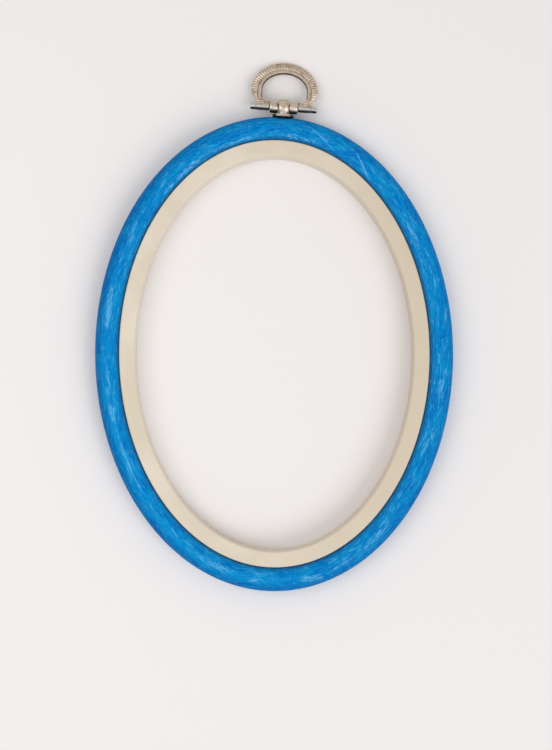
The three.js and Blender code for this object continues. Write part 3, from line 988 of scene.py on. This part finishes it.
def makeArch(material):
    halfWidth, shoulder, reach = arch["halfWidth"], arch["shoulder"], arch["reach"]
    rimWidth, ribRise, legShare = arch["rimWidth"], arch["ribRise"], arch["legShare"]
    inside = halfWidth - arch["bandSide"]
    innerTop = reach - arch["bandTop"]
    outerLeg, innerLeg = legPaths()
    half = arch["thickness"] / 2

    # both outlines at a share of the way from the right foot to the left one
    def edges(share):
        mirrored = share > 0.5
        share = 1 - share if mirrored else share
        if share < legShare:
            outer = walk(outerLeg, share / legShare)
            inner = walk(innerLeg, share / legShare)
        else:
            angle = (share - legShare) / (0.5 - legShare) * pi / 2
            outer = Vector((halfWidth * cos(angle), shoulder + (reach - shoulder) * sin(angle)))
            inner = Vector((inside * cos(angle), shoulder + (innerTop - shoulder) * sin(angle)))
        if mirrored:
            outer.x, inner.x = -outer.x, -inner.x
        return outer, inner

    # distance from the inner edge, as a length and a share of the band, height, ribbing, darkness
    section = [(near * mm, 0.0, height * half, 0.0, dark) for near, height, dark in rimFront]
    section += [(rimWidth, part, height * half - cut * ribRise, ribbing, dark)
                for part, height, cut, ribbing, dark in band]
    section += [(near * mm, 0.0, height * half, 0.0, dark) for near, height, dark in rimBack]

    bm = bmesh.new()
    order = bm.verts.layers.int.new("order")
    dots = []
    for i in range(len(section)):
        turn = 2 * pi * i / len(section)
        dot = bm.verts.new((arch["spinRadius"] + cos(turn), 0, sin(turn)))
        dot[order] = i
        dots.append(dot)
    lines = [bm.edges.new((dots[i - 1], dots[i])) for i in range(len(dots))]
    bmesh.ops.spin(bm, geom=dots + lines, cent=(0, 0, 0), axis=(0, 0, 1), dvec=(0, 0, 0),
                   angle=pi, steps=arch["ribs"] * arch["stepsPerRib"])
    paintedShade = bm.verts.layers.float.new("paintedShade")
    for vert in bm.verts:
        share = min(max(atan2(vert.co.y, vert.co.x) / pi, 0.0), 1.0)
        outer, inner = edges(share)
        near, part, height, ribbing, dark = section[vert[order]]
        width = (outer - inner).length
        distance = near + part * (width - rimWidth)
        ridge = 0.5 - 0.5 * cos(2 * pi * arch["ribs"] * share)
        spot = inner + (outer - inner) * (distance / width)
        vert.co = (spot.x, spot.y, height + ribRise * ribbing * ridge ** arch["ribPower"])
        # painted shade in the grooves between the ribs
        groove = ribbing * arch["grooveDark"] * (1 - ridge) ** arch["groovePower"]
        vert[paintedShade] = max(dark, groove)
    ends = [e for e in bm.edges if e.is_boundary]
    bmesh.ops.holes_fill(bm, edges=ends, sides=0)
    place(bm, swingFrame)
    finishPiece(bm, "hangerArch", material, "hanger", ["bail"], smoothAngle=50)


def makeKnuckles(material):
    radius, length, rim = fittings["knuckleRadius"], fittings["knuckleLength"], fittings["knuckleRim"]
    middle = (fittings["knuckleStart"] + fittings["knuckleEnd"]) / 2
    for name, x in [("knuckleLeft", -middle), ("knuckleRight", middle)]:
        bm = sleeve(radius, fittings["bore"], length, rim, x)
        # painted shade and nickel-toned painted highlight
        place(shadeBarrel(bm, radius, rim, paintedSheen=fittings["knuckleSheen"]), swingFrame)
        finishPiece(bm, name, material, "hanger", ["bail"])


# the arch droops until its rounded edge rests on the table
edgeReach = arch["reach"] - arch["edge"]
edgeHeight = arch["thickness"] / 2 - arch["edge"]
drop = pinPlace.z - arch["tipGap"] - arch["edge"]
droop = asin(drop / hypot(edgeReach, edgeHeight)) - atan2(edgeHeight, edgeReach)
swingFrame = pinFrame @ Matrix.Rotation(-droop, 4, "X")

makeOuterRing()
makeInnerRing()
print("rings made")
brassLook = brassFinish()
nickelLook = nickelFinish()
makeSaddle(brassLook)
makeScrew(nickelLook)
makePin(nickelLook)
makeCollars(brassLook)
makeKnuckles(brassLook)
makeArch(brassLook)
print("hanger made")


# Floor, light and camera

studio = dict(
    floorSize=1.6,
    floorColour=(238, 234, 234),
    floorRoughness=0.9,
    floorDrop=0.02 * mm,
    surround=(1.0, 0.955, 0.895, 1.0),
    surroundStrength=0.64,
    mirrored=(1.0, 0.98, 0.96, 1.0),   # what gloss and metal show
    mirroredStrength=0.58,
    backdrop=(236, 232, 231),
    lampColour=(0.88, 0.94, 1.0),
    cameraPlace=(-7.0 * mm, -23.98 * mm, 430 * mm),
    cameraTurn=(1.0, -1.0, -0.27),  # degrees
    cameraStart=0.01,
    lens=62.3,
)

lamps = [
    dict(name="window", position=(0.75, -0.76, 1.06), size=1.0, power=9.3),
    dict(name="room", position=(-0.25, -0.01, 0.433), size=0.335, power=0.6),
]


def makeFloor():
    bm = bmesh.new()
    bmesh.ops.create_grid(bm, x_segments=1, y_segments=1, size=studio["floorSize"] / 2)
    mesh = bpy.data.meshes.new("floor")
    bm.to_mesh(mesh)
    bm.free()
    floor = bpy.data.objects.new("floor", mesh)
    floor.location.z = -studio["floorDrop"]
    bpy.context.scene.collection.objects.link(floor)
    look = Finish(bpy.data.materials.new("floorPaint"))
    mesh.materials.append(look.surface(
        Base_Color=paint(*studio["floorColour"]), Roughness=studio["floorRoughness"]))


def makeSurround():
    world = bpy.data.worlds.new("surround")
    bpy.context.scene.world = world
    look = Finish(world)

    def glow(colour, strength):
        return look.node("ShaderNodeBackground", None, {"Color": colour, "Strength": strength})

    def whenRay(kind, otherwise, shader):
        ray = look.node("ShaderNodeLightPath", None, None, kind)
        return look.node("ShaderNodeMixShader", None, {0: ray, 1: otherwise, 2: shader})

    light = glow(studio["surround"], studio["surroundStrength"])
    light = whenRay("Is Glossy Ray", light, glow(studio["mirrored"], studio["mirroredStrength"]))
    light = whenRay("Is Camera Ray", light, glow(paint(*studio["backdrop"]), 1.0))
    look.node("ShaderNodeOutputWorld", None, {"Surface": light})


def makeLamp(name, position, size, power):
    data = bpy.data.lights.new(name, "AREA")
    data.shape = "SQUARE"
    data.size = size
    data.energy = power
    data.color = studio["lampColour"]
    lamp = bpy.data.objects.new(name, data)
    lamp.location = position
    lamp.rotation_euler = (ovalCentre - lamp.location).to_track_quat("-Z", "Y").to_euler()
    bpy.context.scene.collection.objects.link(lamp)


def makeCamera():
    data = bpy.data.cameras.new("camera")
    data.lens = studio["lens"]
    data.clip_start = studio["cameraStart"]
    camera = bpy.data.objects.new("camera", data)
    camera.location = studio["cameraPlace"]
    camera.rotation_euler = [radians(turn) for turn in studio["cameraTurn"]]
    bpy.context.scene.collection.objects.link(camera)
    bpy.context.scene.camera = camera


makeFloor()
makeSurround()
for lamp in lamps:
    makeLamp(**lamp)
makeCamera()
bpy.context.scene.view_settings.view_transform = "Standard"
print("studio made")
